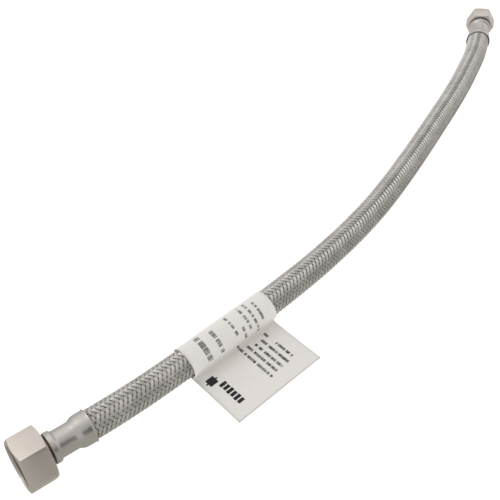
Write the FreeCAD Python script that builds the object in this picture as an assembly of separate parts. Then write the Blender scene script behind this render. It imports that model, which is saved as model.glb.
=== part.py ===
"""Braided supply line: a rubber tube in a stainless braid, with a swivel nut at each end.

Units are millimetres, +Z is up and the line lies on the plane z = 0, as it would on a bench.
The origin is on that plane, under the middle of the box round the two fittings and the tag.
The big nut has a female half-inch pipe thread, the small one a three-eighths compression thread.
Each fitting is drawn along its own axis: s runs from the ferrule's mouth on the hose to the nut.
"""
import FreeCAD, Part
import os
from math import cos, pi, radians, sqrt, tan

Vector = FreeCAD.Vector

# ---- hose ----------------------------------------------------------------------------------------
HOSE_OD = 14.5            # over the braid
BRAID_WALL = 0.6          # two layers of flat wire bundles
TUBE_BORE = 8.0           # free bore of the rubber tube
LAYER_GAP = 0.05          # between braid and tube, and round all that is clamped

# ---- paper tag -----------------------------------------------------------------------------------
TAG_WIDTH = 51.6          # along the hose
TAG_REACH = 38.5          # from the hose's axis to the flag's outer edge
PAPER = 0.25
TAG_CLEARANCE = 0.55      # the loop is loose on the braid
TAG_RUN = 2               # index of the route's run that the loop lies on
TAG_OFFSET = -1.2         # loop's middle from the middle of that run, along the hose
FLOOR_CLEARANCE = 0.02    # under the tag

# ---- the hose's line -----------------------------------------------------------------------------
# One point per bend, from inside one ferrule to inside the other: x, y and the lift over the
# height at which the tag's loop lies on the floor. The nuts lift the two ends a little.
# A quadratic curve with these control points and the tube below run along the same line.
REST_HEIGHT = HOSE_OD / 2 + TAG_CLEARANCE + PAPER + FLOOR_CLEARANCE
ROUTE_PLAN = [
    (-124.4, -148.6, 2.58),
    (-105.7, -136.2, 0.83),
    (-75.2, -113.7, 0),
    (-38.3, -86.0, 0),
    (-4.5, -58.1, 0),
    (27.8, -25.4, 0),
    (55.5, 11.2, 0),
    (81.5, 49.0, 0),
    (105.0, 83.8, 0),
    (121.4, 112.0, 0),
    (132.1, 131.6, 0),
    (137.5, 146.7, 0.21),
]
ROUTE = [(x, y, REST_HEIGHT + lift) for x, y, lift in ROUTE_PLAN]
ROUTE_INSET = 4.5         # how far inside each ferrule's mouth the line starts and ends
ARC_SHARE = 0.45          # part of the shorter run that each bend may use

# ---- ferrules: one pressed cup, the same at both ends --------------------------------------------
FERRULE_LENGTH = 20.0
FERRULE_WALL = 0.45
LIP_OVER_HOSE = 1.1       # belled mouth on the braid, over the hose's diameter
RIM_OVER_HOSE = 0.4       # uncrimped bottom of the cup, behind the nut
CRIMP_UNDER_HOSE = 1.6    # waist pressed in by the crimping jaws
LIP_CREST = 0.42          # where the bell is widest, as a share of its length
LIP_LENGTH = 5.2
LIP_CONE = 3.4            # from the bell down to the waist
RIM_LENGTH = 2.6
RIM_CONE = 1.6            # from the waist up to the rim
RIM_CORNER = 0.8          # rounding of the cup's bottom
HOSE_END_GAP = 0.6        # between the cut end of the hose and the rim
S_CURVE_QUARTER = 0.14    # share of an S curve's rise that a quarter of its length takes

# ---- nipples: barbed tail, neck and collar -------------------------------------------------------
TAIL_SLIP = 0.4           # radial, the tail in the tube's free bore
TAIL_WALL = 1.0
BARB_HEIGHT = 0.3
BARB_PITCH = 3.2
BARB_LEAD = 0.5           # from the tail's tip to the first barb
BARB_RAMP = 0.6           # share of the pitch that a barb rises over
BARB_BACK = 0.2           # length of a barb's steep side
TAIL_START = 1.5          # tail's tip, inside the ferrule's mouth
NECK_CLEARANCE = 0.3      # radial, nut's back hole on the neck
COLLAR_GAP = 0.3          # axial, collar in front of the nut's back wall

# ---- female pipe thread end ----------------------------------------------------------------------
FIP_THREAD_MINOR = 19.1
FIP_NUT_WALL = 2.45       # from the thread's crests to each flat
FIP_NUT_LENGTH = 13.2
FIP_NUT_BACK = 2.0        # wall behind the collar
FIP_RELIEF_DEPTH = 0.75   # undercut behind the thread
FIP_RELIEF_LENGTH = 5.3
FIP_NECK_STEP = 1.0       # from the tail out to the neck
FIP_COLLAR_CLEARANCE = 1.25
FIP_COLLAR_LENGTH = 1.5
FIP_WASHER_CLEARANCE = 0.35
FIP_WASHER_OVER_NECK = 0.2
FIP_WASHER_LENGTH = 2.0
FIP_WASHER_EASE = 0.3     # bevel of its outer edges
FIP_PLAY = 1.2            # gap behind the nut, and between collar and washer

# ---- compression end -----------------------------------------------------------------------------
COMP_THREAD_MINOR = 13.2
COMP_NUT_WALL = 1.9
COMP_NUT_LENGTH = 11.5
COMP_NUT_BACK = 1.8
COMP_RELIEF_DEPTH = 0.5
COMP_RELIEF_LENGTH = 5.5
COMP_NECK_STEP = 0.6
COMP_COLLAR_CLEARANCE = 0.7
COMP_COLLAR_LENGTH = 1.4
COMP_SEAL_CLEARANCE = 0.3
COMP_SEAL_OVER_WATERWAY = 0.4
COMP_SEAL_LENGTH = 1.4
COMP_SEAL_CONE = 0.8      # how far the cone stands out of the disc
COMP_SEAL_LAND = 1.5      # width of the cone's flat tip
COMP_PLAY = 1.0

MOUTH_CHAMFER = 0.7       # countersink at both threads
NUT_FACE_SHARE = 0.96     # chamfer circle on a nut's end faces, as a share of its flats
NUT_CHAMFER_ANGLE = 30.0
SEAL_CLEARANCE = 0.3      # axial, washer or seal's tip behind the thread's shoulder
OVERRUN = 1.0             # how far a cutting shape reaches past what it cuts

# ---- diameters that follow from the ones above ---------------------------------------------------
TAIL_OD = TUBE_BORE - 2 * TAIL_SLIP
FERRULE_LIP_OD = HOSE_OD + LIP_OVER_HOSE
FERRULE_RIM_OD = HOSE_OD + RIM_OVER_HOSE
FERRULE_CRIMP_OD = HOSE_OD - CRIMP_UNDER_HOSE
WATERWAY = TAIL_OD - 2 * TAIL_WALL
FIP_NUT_AF = FIP_THREAD_MINOR + 2 * FIP_NUT_WALL
FIP_RELIEF_OD = FIP_THREAD_MINOR + 2 * FIP_RELIEF_DEPTH
FIP_NECK_OD = TAIL_OD + 2 * FIP_NECK_STEP
FIP_COLLAR_OD = FIP_THREAD_MINOR - 2 * FIP_COLLAR_CLEARANCE
FIP_WASHER_OD = FIP_RELIEF_OD - 2 * FIP_WASHER_CLEARANCE
FIP_WASHER_BORE = FIP_NECK_OD + 2 * FIP_WASHER_OVER_NECK
COMP_NUT_AF = COMP_THREAD_MINOR + 2 * COMP_NUT_WALL
COMP_RELIEF_OD = COMP_THREAD_MINOR + 2 * COMP_RELIEF_DEPTH
COMP_NECK_OD = TAIL_OD + 2 * COMP_NECK_STEP
COMP_COLLAR_OD = COMP_THREAD_MINOR - 2 * COMP_COLLAR_CLEARANCE
COMP_SEAL_OD = COMP_RELIEF_OD - 2 * COMP_SEAL_CLEARANCE
COMP_SEAL_BORE = WATERWAY + 2 * COMP_SEAL_OVER_WATERWAY
COMP_SEAL_TIP_OD = COMP_SEAL_BORE + 2 * COMP_SEAL_LAND


# ---- small helpers -------------------------------------------------------------------------------
def revolved(outline):
    """A solid of revolution about the X axis, from (s, radius) points or arcs' three points."""
    edges = []
    here = outline[0]
    for step in outline[1:] + [outline[0]]:
        if len(step) == 3:                      # an arc: middle point, then end point
            middle, end = step[0], step[1]
            edges.append(Part.Arc(flat(here), flat(middle), flat(end)).toShape())
            here = end
        elif step != here:
            edges.append(Part.LineSegment(flat(here), flat(step)).toShape())
            here = step
    face = Part.Face(Part.Wire(edges))
    return face.revolve(Vector(0, 0, 0), Vector(1, 0, 0), 360.0)


def flat(point):
    """A (s, radius) pair as a point of the half plane above the X axis."""
    return Vector(point[0], point[1], 0)


def arc_to(middle, end):
    """One arc of an outline for revolved: through the middle point to the end point."""
    return (middle, end, "arc")


def disc(start, end, diameter):
    """A plain cylinder on the X axis from start to end."""
    return Part.makeCylinder(diameter / 2, end - start, Vector(start, 0, 0), Vector(1, 0, 0))


def hexagon_prism(start, end, across_flats):
    """A hexagonal bar on the X axis with one flat up and one flat down."""
    corner = across_flats / sqrt(3)
    points = [Vector(start, corner * cos(radians(60 * i)), corner * cos(radians(60 * i - 90)))
              for i in range(7)]
    return Part.Face(Part.makePolygon(points)).extrude(Vector(end - start, 0, 0))


def blend_points(start, end, radius_a, radius_b):
    """An S curve between two radii: the two arcs' middle points and end points."""
    length = end - start
    rise = radius_b - radius_a
    middle = (start + length / 2, radius_a + rise / 2)
    first = (start + length / 4, radius_a + rise * S_CURVE_QUARTER)
    last = (end - length / 4, radius_b - rise * S_CURVE_QUARTER)
    return [arc_to(first, middle), arc_to(last, (end, radius_b))]


# ---- stations along a fitting's axis -------------------------------------------------------------
LIP_END = LIP_LENGTH
CRIMP_START = LIP_END + LIP_CONE
RIM_START = FERRULE_LENGTH - RIM_LENGTH
CRIMP_END = RIM_START - RIM_CONE
HOSE_END = CRIMP_END - HOSE_END_GAP
CUP_FLOOR = FERRULE_LENGTH - FERRULE_WALL
BARB_COUNT = int((HOSE_END - TAIL_START - BARB_LEAD) / BARB_PITCH)


def ferrule_profile(inset):
    """The cup's outside, moved in by inset, as an outline from its mouth to its rim."""
    lip = FERRULE_LIP_OD / 2 - inset
    waist = FERRULE_CRIMP_OD / 2 - inset
    rim = FERRULE_RIM_OD / 2 - inset
    mouth = HOSE_OD / 2 + LAYER_GAP + FERRULE_WALL - inset
    profile = [(0, mouth), arc_to((LIP_END * LIP_CREST, lip), (LIP_END, mouth))]
    profile += blend_points(LIP_END, CRIMP_START, mouth, waist)
    profile.append((CRIMP_END, waist))
    profile += blend_points(CRIMP_END, RIM_START, waist, rim)
    return profile


def reversed_outline(profile):
    """The same outline run backwards, arcs included."""
    ends = [step[1] if len(step) == 3 else step for step in profile]
    backwards = [ends[-1]]
    for index in range(len(profile) - 1, 0, -1):
        step = profile[index]
        if len(step) == 3:
            backwards.append(arc_to(step[0], ends[index - 1]))
        else:
            backwards.append(ends[index - 1])
    return backwards


# ---- fittings, in their own frame ----------------------------------------------------------------
def ferrule(neck_diameter):
    """The crimp cup: belled mouth, pressed waist, uncrimped rim and a floor round the neck."""
    rim = FERRULE_RIM_OD / 2
    turn = RIM_CORNER * (1 - cos(pi / 4))
    corner = arc_to((FERRULE_LENGTH - turn, rim - turn), (FERRULE_LENGTH, rim - RIM_CORNER))
    hole = neck_diameter / 2 + LAYER_GAP
    outline = ferrule_profile(0)
    outline += [(FERRULE_LENGTH - RIM_CORNER, rim), corner, (FERRULE_LENGTH, hole)]
    outline += [(CUP_FLOOR, hole), (CUP_FLOOR, rim - FERRULE_WALL)]
    return revolved(outline + reversed_outline(ferrule_profile(FERRULE_WALL)))


def tail(grow):
    """The nipple's barbed tail, larger by grow all round, as one solid."""
    radius = TAIL_OD / 2 + grow
    crest = radius + BARB_HEIGHT
    outline = [(TAIL_START - grow, 0), (TAIL_START - grow, radius)]
    for index in range(BARB_COUNT):
        foot = TAIL_START + BARB_LEAD + index * BARB_PITCH
        top = foot + BARB_PITCH * BARB_RAMP
        outline += [(foot, radius), (top, crest), (top + BARB_BACK, radius)]
    outline += [(HOSE_END, radius), (HOSE_END, 0)]
    return revolved(outline)


def nipple(neck_diameter, collar_diameter, collar_start, collar_length):
    """Barbed tail, neck through the ferrule's floor and the nut, and collar inside the nut."""
    body = tail(0).fuse(disc(HOSE_END, collar_start, neck_diameter))
    face = collar_start + collar_length
    body = body.fuse(disc(collar_start, face, collar_diameter))
    return body.cut(disc(0, face + OVERRUN, WATERWAY)).removeSplitter()


def nut(start, flats, length, back, neck_diameter, minor, relief, relief_length):
    """A swivel nut: back wall on the neck, undercut, plain bore at the thread's crests."""
    end = start + length
    bar = hexagon_prism(start, end, flats)
    face = flats / 2 * NUT_FACE_SHARE
    reach = flats / sqrt(3) + OVERRUN
    slope = (reach - face) * tan(radians(NUT_CHAMFER_ANGLE))
    bar = bar.common(revolved([(start, 0), (start, face), (start + slope, reach), (end - slope, reach),
                               (end, face), (end, 0)]))
    hole = neck_diameter / 2 + NECK_CLEARANCE
    shoulder = start + back + relief_length
    flare = minor / 2 + MOUTH_CHAMFER
    bore = revolved([(start - OVERRUN, 0), (start - OVERRUN, hole), (start + back, hole),
                     (start + back, relief / 2), (shoulder, relief / 2), (shoulder, minor / 2),
                     (end - MOUTH_CHAMFER, minor / 2), (end, flare),
                     (end + OVERRUN, flare), (end + OVERRUN, 0)])
    return bar.cut(bore)


def fip_washer(front):
    """A flat rubber ring whose front face is at front, with eased edges."""
    back = front - FIP_WASHER_LENGTH
    outer = FIP_WASHER_OD / 2
    inner = FIP_WASHER_BORE / 2
    ease = FIP_WASHER_EASE
    return revolved([(back, inner), (back, outer - ease), (back + ease, outer),
                     (front - ease, outer), (front, outer - ease), (front, inner)])


def comp_seal(front):
    """A rubber disc with its front face at front, and a cone that stands out of that face."""
    back = front - COMP_SEAL_LENGTH
    outer = COMP_SEAL_OD / 2
    inner = COMP_SEAL_BORE / 2
    tip = COMP_SEAL_TIP_OD / 2
    foot = tip + COMP_SEAL_CONE
    return revolved([(back, inner), (back, outer), (front, outer), (front, foot),
                     (front + COMP_SEAL_CONE, tip), (front + COMP_SEAL_CONE, inner)])


def fip_end():
    """Every piece of the pipe-thread end, in its own frame."""
    nut_start = FERRULE_LENGTH + FIP_PLAY
    collar_start = nut_start + FIP_NUT_BACK + COLLAR_GAP
    washer_front = nut_start + FIP_NUT_BACK + FIP_RELIEF_LENGTH - SEAL_CLEARANCE
    return {
        "fip_ferrule": ferrule(FIP_NECK_OD),
        "fip_nipple": nipple(FIP_NECK_OD, FIP_COLLAR_OD, collar_start, FIP_COLLAR_LENGTH),
        "fip_nut": nut(nut_start, FIP_NUT_AF, FIP_NUT_LENGTH, FIP_NUT_BACK, FIP_NECK_OD,
                       FIP_THREAD_MINOR, FIP_RELIEF_OD, FIP_RELIEF_LENGTH),
        "fip_washer": fip_washer(washer_front),
    }


def comp_end():
    """Every piece of the compression end, in its own frame."""
    nut_start = FERRULE_LENGTH + COMP_PLAY
    collar_start = nut_start + COMP_NUT_BACK + COLLAR_GAP
    seal_tip = nut_start + COMP_NUT_BACK + COMP_RELIEF_LENGTH - SEAL_CLEARANCE
    return {
        "comp_ferrule": ferrule(COMP_NECK_OD),
        "comp_nipple": nipple(COMP_NECK_OD, COMP_COLLAR_OD, collar_start, COMP_COLLAR_LENGTH),
        "comp_nut": nut(nut_start, COMP_NUT_AF, COMP_NUT_LENGTH, COMP_NUT_BACK, COMP_NECK_OD,
                        COMP_THREAD_MINOR, COMP_RELIEF_OD, COMP_RELIEF_LENGTH),
        "comp_seal": comp_seal(seal_tip - COMP_SEAL_CONE),
    }


# ---- hose ----------------------------------------------------------------------------------------
def route_path():
    """The hose's line: straight runs joined by tangent arcs, with the arcs' radii."""
    points = [Vector(*point) for point in ROUTE]
    edges, radii = [], []
    here = points[0]
    for before, corner, after in zip(points, points[1:], points[2:]):
        arriving = (corner - before).normalize()
        leaving = (after - corner).normalize()
        half_turn = arriving.getAngle(leaving) / 2
        share = ARC_SHARE * min((corner - before).Length, (after - corner).Length)
        radius = share / tan(half_turn)
        start, end = corner - arriving * share, corner + leaving * share
        inward = (leaving - arriving).normalize()
        middle = corner + inward * (radius / cos(half_turn) - radius)
        edges.append(Part.LineSegment(here, start).toShape())
        edges.append(Part.Arc(start, middle, end).toShape())
        radii.append(radius)
        here = end
    edges.append(Part.LineSegment(here, points[-1]).toShape())
    return Part.Wire(edges), radii


def swept(path, diameter):
    """A round bar of that diameter along the path."""
    start = path.Edges[0].valueAt(path.Edges[0].FirstParameter)
    tangent = path.Edges[0].tangentAt(path.Edges[0].FirstParameter)
    circle = Part.Wire(Part.Circle(start, tangent, diameter / 2).toShape())
    return path.makePipeShell([circle], True, False)


def clamped_end(outer_inset, outer_free, inner_free, inner_clamped):
    """The end of one hose layer inside a ferrule: from the line's start down to the cut end.

    outer_inset is the layer's outside below the ferrule's outside, and outer_free its free radius.
    """
    waist = FERRULE_CRIMP_OD / 2 - outer_inset
    outline = [(ROUTE_INSET, inner_free), (ROUTE_INSET, outer_free), (LIP_END, outer_free)]
    outline += blend_points(LIP_END, CRIMP_START, outer_free, waist)
    outline += [(HOSE_END, waist), (HOSE_END, inner_clamped), (CRIMP_START, inner_clamped)]
    outline += blend_points(CRIMP_START, LIP_END, inner_clamped, inner_free)
    return revolved(outline)


def hose_layers(path, frames):
    """The braid and the rubber tube, each swept along the line and necked down in both ferrules."""
    braid_outer = HOSE_OD / 2
    braid_inner = braid_outer - BRAID_WALL
    tube_outer = braid_inner - LAYER_GAP
    tube_inner = TUBE_BORE / 2
    braid_inset = FERRULE_WALL + LAYER_GAP
    tube_inset = braid_inset + BRAID_WALL + LAYER_GAP
    braid_clamped = FERRULE_CRIMP_OD / 2 - tube_inset + LAYER_GAP
    tube_clamped = TAIL_OD / 2 + LAYER_GAP
    braid_end = clamped_end(braid_inset, braid_outer, braid_inner, braid_clamped)
    tube_end = clamped_end(tube_inset, tube_outer, tube_inner, tube_clamped).cut(tail(LAYER_GAP))
    braid = swept(path, 2 * braid_outer).cut(swept(path, 2 * braid_inner))
    tube = swept(path, 2 * tube_outer).cut(swept(path, 2 * tube_inner))
    for frame in frames:
        braid = braid.fuse(placed(braid_end, frame))
        tube = tube.fuse(placed(tube_end, frame))
    return {"braid_sleeve": braid.removeSplitter(), "inner_tube": tube.removeSplitter()}


# ---- paper tag -----------------------------------------------------------------------------------
def label_tag():
    """One strip of paper: a loose loop round the hose, and its two ends stuck together as a flag.

    Drawn with the hose's axis along X and the flag running out along -Y from under the loop.
    """
    inner = HOSE_OD / 2 + TAG_CLEARANCE
    outer = inner + PAPER
    half = TAG_WIDTH / 2
    loop = disc(-half, half, 2 * outer)
    flag = Part.makeBox(TAG_WIDTH, TAG_REACH, 2 * PAPER, Vector(-half, -TAG_REACH, -outer))
    hollow = disc(-half - OVERRUN, half + OVERRUN, 2 * inner)
    return loop.fuse(flag).cut(hollow).removeSplitter()


# ---- placing -------------------------------------------------------------------------------------
def frame_towards(point, direction):
    """A placement whose X axis is direction, with Z as near to up as it can be."""
    sideways = Vector(0, 0, 1).cross(direction).normalize()
    upwards = direction.cross(sideways)
    return FreeCAD.Placement(point, FreeCAD.Rotation(direction, sideways, upwards, "XZY"))


def ferrule_frame(end_point, next_point):
    """The frame of a fitting: its origin at the ferrule's mouth, X out of the hose."""
    outwards = (Vector(*end_point) - Vector(*next_point)).normalize()
    return frame_towards(Vector(*end_point) - outwards * ROUTE_INSET, outwards)


def tag_frame():
    """The frame of the tag: on its run of the hose, X along that run."""
    start, end = Vector(*ROUTE[TAG_RUN]), Vector(*ROUTE[TAG_RUN + 1])
    along = (end - start).normalize()
    return frame_towards((start + end) / 2 + along * TAG_OFFSET, along)


def placed(shape, frame):
    """A copy of the shape, moved into the frame."""
    copy = shape.copy()
    copy.Placement = frame.multiply(copy.Placement)
    return copy


def build():
    """Every piece of the supply line, in its place."""
    path, radii = route_path()
    print("bend radii", [round(radius) for radius in radii], "hose line", round(path.Length, 1))
    fip_frame = ferrule_frame(ROUTE[0], ROUTE[1])
    comp_frame = ferrule_frame(ROUTE[-1], ROUTE[-2])
    pieces = {name: placed(shape, fip_frame) for name, shape in fip_end().items()}
    pieces.update({name: placed(shape, comp_frame) for name, shape in comp_end().items()})
    pieces.update(hose_layers(path, (fip_frame, comp_frame)))
    pieces["label_tag"] = placed(label_tag(), tag_frame())
    section = pi * (HOSE_OD - BRAID_WALL) * BRAID_WALL
    volume = swept(path, HOSE_OD).Volume - swept(path, HOSE_OD - 2 * BRAID_WALL).Volume
    print("braid swept volume", round(volume), "section times length", round(section * path.Length))
    return pieces


def main():
    """Write each piece to its own STEP file."""
    os.makedirs("parts", exist_ok=True)
    for name, shape in build().items():
        box = shape.optimalBoundingBox(False, False)
        corners = (box.XMin, box.XMax, box.YMin, box.YMax, box.ZMin, box.ZMax)
        print(name, "valid", shape.isValid(), "solids", len(shape.Solids),
              "volume", round(shape.Volume, 1), "x %.2f %.2f y %.2f %.2f z %.3f %.3f" % corners)
        shape.exportStep("parts/" + name + ".step")


main()
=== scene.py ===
"""Finished look of a braided supply line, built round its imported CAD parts.

Everything is in metres in the frame of the parts; sizes given in millimetres are turned into
metres by MM. Each sub-assembly is a class: its fields are sizes, its methods build its meshes
and give them their finishes.
"""

import logging
from dataclasses import dataclass, field
from enum import Enum
from math import cos, isclose, pi, radians, sin, sqrt, tan
from typing import Callable, Sequence

import bmesh
import bpy
import numpy as np
from mathutils import Matrix, Vector


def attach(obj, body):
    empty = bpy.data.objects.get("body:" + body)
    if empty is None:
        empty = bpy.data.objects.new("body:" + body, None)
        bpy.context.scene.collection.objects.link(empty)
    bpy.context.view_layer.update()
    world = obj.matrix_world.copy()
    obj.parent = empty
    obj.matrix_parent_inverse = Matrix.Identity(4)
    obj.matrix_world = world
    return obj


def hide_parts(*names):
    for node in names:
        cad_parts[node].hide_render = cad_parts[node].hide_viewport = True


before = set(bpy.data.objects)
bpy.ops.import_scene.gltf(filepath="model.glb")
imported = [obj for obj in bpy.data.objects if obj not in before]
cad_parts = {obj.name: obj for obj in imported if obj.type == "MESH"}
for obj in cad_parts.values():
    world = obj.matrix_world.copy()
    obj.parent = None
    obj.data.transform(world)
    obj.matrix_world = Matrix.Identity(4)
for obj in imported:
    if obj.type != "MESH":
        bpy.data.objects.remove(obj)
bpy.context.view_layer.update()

logging.basicConfig(level=logging.INFO, format="%(name)s: %(message)s")
LOG = logging.getLogger("supply_line")

MM = 0.001
FULL_TURN = 2 * pi
UP = Vector((0, 0, 1))
SAME_POINT = 1e-8

# The hose's line in metres, one point per bend, from inside one ferrule to inside the other.
ROUTE = [
    (-0.1244, -0.1486, 0.01065),
    (-0.1057, -0.1362, 0.00890),
    (-0.0752, -0.1137, 0.00807),
    (-0.0383, -0.0860, 0.00807),
    (-0.0045, -0.0581, 0.00807),
    (0.0278, -0.0254, 0.00807),
    (0.0555, 0.0112, 0.00807),
    (0.0815, 0.0490, 0.00807),
    (0.1050, 0.0838, 0.00807),
    (0.1214, 0.1120, 0.00807),
    (0.1321, 0.1316, 0.00807),
    (0.1375, 0.1467, 0.00828),
]
ROUTE_INSET = 4.5 * MM
HOSE_DIAMETER = 14.5 * MM


class Slot(Enum):
    """The material slots of the parts' record."""

    BRAID = "stainless_braid"
    RUBBER = "black_rubber"
    STAINLESS = "polished_stainless"
    BRASS = "bare_brass"
    NICKEL = "nickel_plate"
    PAPER = "tag_paper"


class Hand(Enum):
    """Which way a carrier's bundles wind round the hose."""

    RIGHT = 1
    LEFT = -1


# ---- shader maths ----
def _operator(operation: str) -> Callable[["Value", "Value | float"], "Value"]:
    """Make a method that adds one Math node, the value first."""
    def apply(value: "Value", other: "Value | float") -> "Value":
        """Add the node."""
        return value.shader.node("ShaderNodeMath", {"operation": operation}, value, other)
    return apply


class Value:
    """A number or colour socket of a shader, with arithmetic that adds Math nodes."""

    def __init__(self, shader: "Shader", socket: bpy.types.NodeSocket) -> None:
        """Wrap an output socket of a shader's node."""
        self.shader = shader
        self.socket = socket

    __add__ = __radd__ = _operator("ADD")
    __mul__ = __rmul__ = _operator("MULTIPLY")
    __sub__ = _operator("SUBTRACT")
    # 1 where the comparison holds, else 0.
    __lt__ = _operator("LESS_THAN")
    __gt__ = _operator("GREATER_THAN")
    # The larger of two masks.
    either = _operator("MAXIMUM")

    def __rsub__(self, other: float) -> "Value":
        """A number minus this value."""
        return self.shader.node("ShaderNodeMath", {"operation": "SUBTRACT"}, other, self)

    def __abs__(self) -> "Value":
        """This value without its sign."""
        return self.shader.node("ShaderNodeMath", {"operation": "ABSOLUTE"}, self)

    def clipped(self) -> "Value":
        """This value kept from 0 to 1."""
        return self.shader.node("ShaderNodeClamp", {}, self)


class Shader:
    """One material under construction."""

    def __init__(self, name: str) -> None:
        """Start an empty node tree with a Principled shader.

        Args:
            name: The material's name.
        """
        self.material = bpy.data.materials.new(name)
        self.material.use_nodes = True
        self.tree = self.material.node_tree
        self.tree.nodes.clear()
        self.principled = self.tree.nodes.new("ShaderNodeBsdfPrincipled")
        self.output = self.tree.nodes.new("ShaderNodeOutputMaterial")
        self.tree.links.new(self.principled.outputs[0], self.output.inputs["Surface"])

    def node(self, kind: str, settings: dict, *inputs: "Value | float | tuple | None",
             out: int | str = 0, **named: "Value | float | tuple") -> Value:
        """Add a node, set it up and feed it.

        Args:
            kind: The node's type.
            settings: Its properties, set before its sockets.
            *inputs: What feeds its sockets in order, None to leave one alone.
            out: The output to hand back.
            **named: What feeds sockets by name, with _ for a blank.

        Returns:
            The chosen output as a Value.
        """
        made = self.tree.nodes.new(kind)
        for key, value in settings.items():
            setattr(made, key, value)
        for index, value in enumerate(inputs):
            if value is not None:
                self.feed(made.inputs[index], value)
        for key, value in named.items():
            self.feed(made.inputs[key.replace("_", " ")], value)
        return Value(self, made.outputs[out])

    def feed(self, socket: bpy.types.NodeSocket, value: "Value | float | tuple") -> None:
        """Link a value to an input socket, or set the socket to a constant."""
        if isinstance(value, Value):
            self.tree.links.new(value.socket, socket)
        elif isinstance(value, tuple) and len(value) == 3 and socket.type == "RGBA":
            socket.default_value = (*value, 1.0)
        else:
            socket.default_value = value

    def surface(self, **sockets: "Value | float | tuple") -> None:
        """Feed the Principled shader's sockets by name, with _ for a blank."""
        for key, value in sockets.items():
            self.feed(self.principled.inputs[key.replace("_", " ")], value)

    def place(self) -> Value:
        """The point on the piece, in metres."""
        return self.node("ShaderNodeTexCoord", {}, out="Object")

    def along(self, axis: Vector) -> Value:
        """How far the point lies along an axis, in millimetres."""
        scaled = tuple(axis.normalized() / MM)
        return self.node("ShaderNodeVectorMath", {"operation": "DOT_PRODUCT"},
                         self.place(), scaled, out="Value")

    def off_axis(self, point: Vector, axis: Vector) -> Value:
        """How far the surface lies from an axis through a point, in millimetres."""
        arm = self.node("ShaderNodeVectorMath", {"operation": "SUBTRACT"}, self.place(),
                        tuple(point))
        moment = self.node("ShaderNodeVectorMath", {"operation": "CROSS_PRODUCT"}, arm,
                           tuple(axis.normalized() / MM))
        return self.node("ShaderNodeVectorMath", {"operation": "LENGTH"}, moment, out="Value")

    def noise(self, scale: float, detail: float = 2.0) -> Value:
        """Cloudy noise about 0.5, in cells of 1 / scale metres on the piece."""
        return self.node("ShaderNodeTexNoise", {}, Vector=self.place(), Scale=scale,
                         Detail=detail)

    def line_noise(self, place: Value, scale: float, detail: float = 1.0) -> Value:
        """Noise that changes along one number only."""
        return self.node("ShaderNodeTexNoise", {"noise_dimensions": "1D"}, W=place,
                         Scale=scale, Detail=detail)

    def blend(self, mask: Value, first: "tuple | Value", second: "tuple | Value") -> Value:
        """The first colour where the mask is 0 and the second where it is 1."""
        return self.node("ShaderNodeMix", {"data_type": "RGBA"}, mask, *[None] * 5, first,
                         second, out=2)

    def bump(self, height: Value, depth: float, strength: float = 1.0) -> None:
        """Raise the surface by a height of 0 to 1 times a depth in metres."""
        self.surface(Normal=self.node("ShaderNodeBump", {}, Strength=strength, Distance=depth,
                                      Height=height, out="Normal"))

    def seen_in_metal(self, colour: Value) -> None:
        """Let bright metal mirror this surface as a plain colour."""
        plain = self.node("ShaderNodeEmission", {}, colour)
        glossy = self.node("ShaderNodeLightPath", {}, out="Is Glossy Ray")
        mixed = self.node("ShaderNodeMixShader", {}, glossy,
                          Value(self, self.principled.outputs[0]), plain)
        self.feed(self.output.inputs["Surface"], mixed)


# ---- finishes ----
class Finish:
    """The look of one material: a subclass holds its colours and paints its shader."""

    NAME = ""

    def paint(self, shader: Shader) -> None:
        """Feed the sockets of the new material's shader."""
        raise NotImplementedError

    def make(self) -> bpy.types.Material:
        """Build the material."""
        shader = Shader(self.NAME)
        self.paint(shader)
        return shader.material


@dataclass(frozen=True)
class BrightWire(Finish):
    """Drawn stainless wire, each wire a little lighter or darker than the next."""

    NAME = "bright_wire"

    light: tuple = (0.80, 0.775, 0.74)
    dark: tuple = (0.45, 0.44, 0.42)
    roughness: float = 0.34
    haze_cells: float = 90.0
    draw_marks: float = 5200.0

    def paint(self, shader: Shader) -> None:
        """Feed the shader."""
        tone = shader.node("ShaderNodeAttribute", {"attribute_name": "wire_tone"}, out="Fac")
        haze = shader.noise(self.haze_cells, 3.0)
        mask = (tone * 0.75 + (haze - 0.5) * 0.9 + 0.12).clipped()
        shader.surface(Metallic=1.0, Base_Color=shader.blend(mask, self.dark, self.light),
                       Roughness=self.roughness + (haze * 0.16))
        shader.bump(shader.noise(self.draw_marks, 1.0), 0.03 * MM, 0.35)


@dataclass(frozen=True)
class PressedStainless(Finish):
    """Polished sheet, with faint drawing lines round it, a soft haze and painted shade inside its
    mouth.
    """

    NAME = "pressed_stainless"

    axis: Vector
    mouth: Vector
    inside_radius: float
    inside_depth: float
    light: tuple = (0.64, 0.615, 0.59)
    dark: tuple = (0.53, 0.505, 0.48)
    # Painted shade inside the mouth.
    shade: tuple = (0.10, 0.095, 0.09)
    roughness: float = 0.31
    haze_cells: float = 240.0
    fine_cells: float = 900.0

    def paint(self, shader: Shader) -> None:
        """Feed the shader."""
        station = shader.along(self.axis)
        lines = shader.line_noise(station, 9.0, 4.0)
        haze = shader.noise(self.haze_cells, 3.0)
        depth = station - self.mouth.dot(self.axis.normalized()) / MM
        radius = shader.off_axis(self.mouth, self.axis)
        # Painted shade: the inside of the mouth, up to inside_depth mm deep, is coloured dark.
        inside = (depth < self.inside_depth) * (radius < self.inside_radius)
        sheet = shader.blend(lines, self.dark, self.light)
        shader.surface(Metallic=1.0, Base_Color=shader.blend(inside, sheet, self.shade),
                       Roughness=self.roughness + (haze * 0.14))
        shader.bump(lines * 0.6 + shader.noise(self.fine_cells, 3.0) * 0.4, 0.02 * MM, 0.5)


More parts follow.
